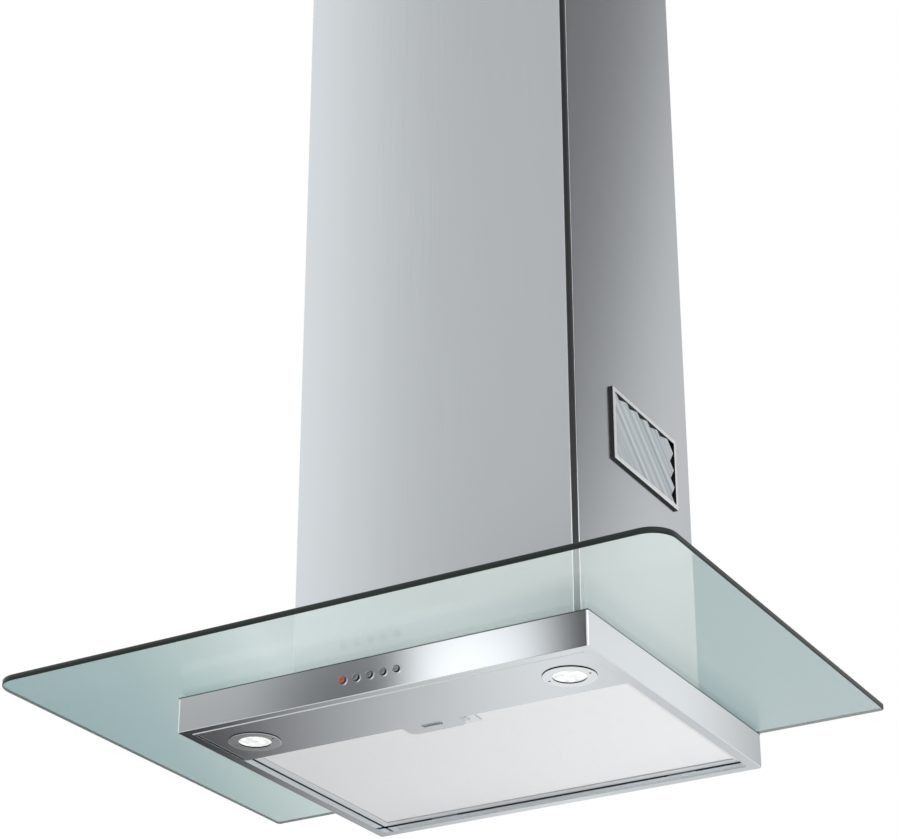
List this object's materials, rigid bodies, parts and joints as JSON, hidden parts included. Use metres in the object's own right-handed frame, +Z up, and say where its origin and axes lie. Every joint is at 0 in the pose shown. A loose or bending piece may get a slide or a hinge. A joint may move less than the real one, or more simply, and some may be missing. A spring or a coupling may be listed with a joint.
{
  "type": "chimney range hood",
  "caption": "wall-mounted kitchen hood: flat tinted glass canopy on a slim steel body with lamps, push buttons and a hinged grease filter, under a box chimney that hides a blower",
  "frame": {"origin": "on the wall plane, midway between the four wall screw holes", "axes": "+Z up, +Y into the wall, +X to the right of someone facing the hood"},
  "size_m": [0.7, 0.4875, 0.9635],
  "materials": {
    "steel": "brushed stainless steel",
    "chrome": "polished plate",
    "amber": "lit amber cap",
    "glass": "tinted clear glass",
    "lens": "frosted, lit",
    "zinc": "zinc coated, dull",
    "fastener": "plain steel",
    "mesh": "satin",
    "black": "moulded, matt",
    "foam": "closed-cell foam",
    "grille": "silver moulding",
    "motor": "dark enamel",
    "capacitor": "smooth grey"
  },
  "bodies": {
    "hood": {"body_shell": "steel", "lamp_plate": "steel", "chimney_front": "steel", "chimney_side_left": "steel", "chimney_side_right": "steel", "lamp_ring_left": "chrome", "lamp_ring_right": "chrome", "button_collars": "chrome", "glass_canopy": "glass", "lamp_lens_left": "lens", "lamp_lens_right": "lens", "top_plate": "zinc", "motor_box": "zinc", "wall_bracket": "zinc", "chimney_strut_left": "zinc", "chimney_strut_right": "zinc", "latch_guide": "zinc", "motor_mount": "zinc", "canopy_screws": "fastener", "canopy_nuts": "fastener", "motor_bearings": "fastener", "damper_pin": "fastener", "scroll_wrap": "black", "scroll_cheek_left": "black", "scroll_cheek_right": "black", "switch_block": "black", "outlet_collar": "black", "terminal_box": "black", "terminal_cover": "black", "cable_gland": "black", "lamp_housing_left": "black", "lamp_housing_right": "black", "corner_strips": "black", "glass_gasket": "foam", "glass_bushes": "foam", "grille_seals": "foam", "vent_grille_left": "grille", "vent_grille_right": "grille", "motor": "motor", "capacitor": "capacitor"},
    "light_button": {"light_button": "amber"},
    "fan_off_button": {"fan_off_button": "chrome"},
    "fan_low_button": {"fan_low_button": "chrome"},
    "fan_mid_button": {"fan_mid_button": "chrome"},
    "fan_high_button": {"fan_high_button": "chrome"},
    "filter": {"filter_frame": "mesh", "filter_mesh": "mesh"},
    "latch": {"filter_latch": "zinc"},
    "upper": {"upper_chimney": "steel", "upper_bracket": "zinc", "upper_screws": "fastener"},
    "fan": {"fan_blades_left": "black", "fan_blades_right": "black", "fan_rings": "black", "fan_disc": "black", "fan_shaft": "fastener"},
    "flap_front": {"damper_flap_front": "black"},
    "flap_rear": {"damper_flap_rear": "black"}
  },
  "joints": [
    {"name": "light_button_press", "type": "slide", "parent": "hood", "child": "light_button", "axis": [0, 1, 0], "range_m": [0, 0.002], "stiffness_N_per_m": 400},
    {"name": "fan_off_button_press", "type": "slide", "parent": "hood", "child": "fan_off_button", "axis": [0, 1, 0], "range_m": [0, 0.002], "stiffness_N_per_m": 400},
    {"name": "fan_low_button_press", "type": "slide", "parent": "hood", "child": "fan_low_button", "axis": [0, 1, 0], "range_m": [0, 0.002], "stiffness_N_per_m": 400},
    {"name": "fan_mid_button_press", "type": "slide", "parent": "hood", "child": "fan_mid_button", "axis": [0, 1, 0], "range_m": [0, 0.002], "stiffness_N_per_m": 400},
    {"name": "fan_high_button_press", "type": "slide", "parent": "hood", "child": "fan_high_button", "axis": [0, 1, 0], "range_m": [0, 0.002], "stiffness_N_per_m": 400},
    {"name": "filter_swing", "type": "hinge", "parent": "hood", "child": "filter", "pos_m": [0, -0.0105, -0.149], "axis": [1, 0, 0], "range_deg": [0, 75]},
    {"name": "latch_slide", "type": "slide", "parent": "hood", "child": "latch", "axis": [0, -1, 0], "range_m": [0, 0.003], "stiffness_N_per_m": 300},
    {"name": "upper_slide", "type": "slide", "parent": "hood", "child": "upper", "axis": [0, 0, 1], "range_m": [0, 0.38]},
    {"name": "fan_spin", "type": "hinge", "parent": "hood", "child": "fan", "pos_m": [0, -0.162, -0.022], "axis": [1, 0, 0], "continuous": true},
    {"name": "flap_front_swing", "type": "hinge", "parent": "hood", "child": "flap_front", "pos_m": [0, -0.124, 0.11], "axis": [-1, 0, 0], "range_deg": [0, 78]},
    {"name": "flap_rear_swing", "type": "hinge", "parent": "hood", "child": "flap_rear", "pos_m": [0, -0.124, 0.11], "axis": [1, 0, 0], "range_deg": [0, 78]}
  ]
}
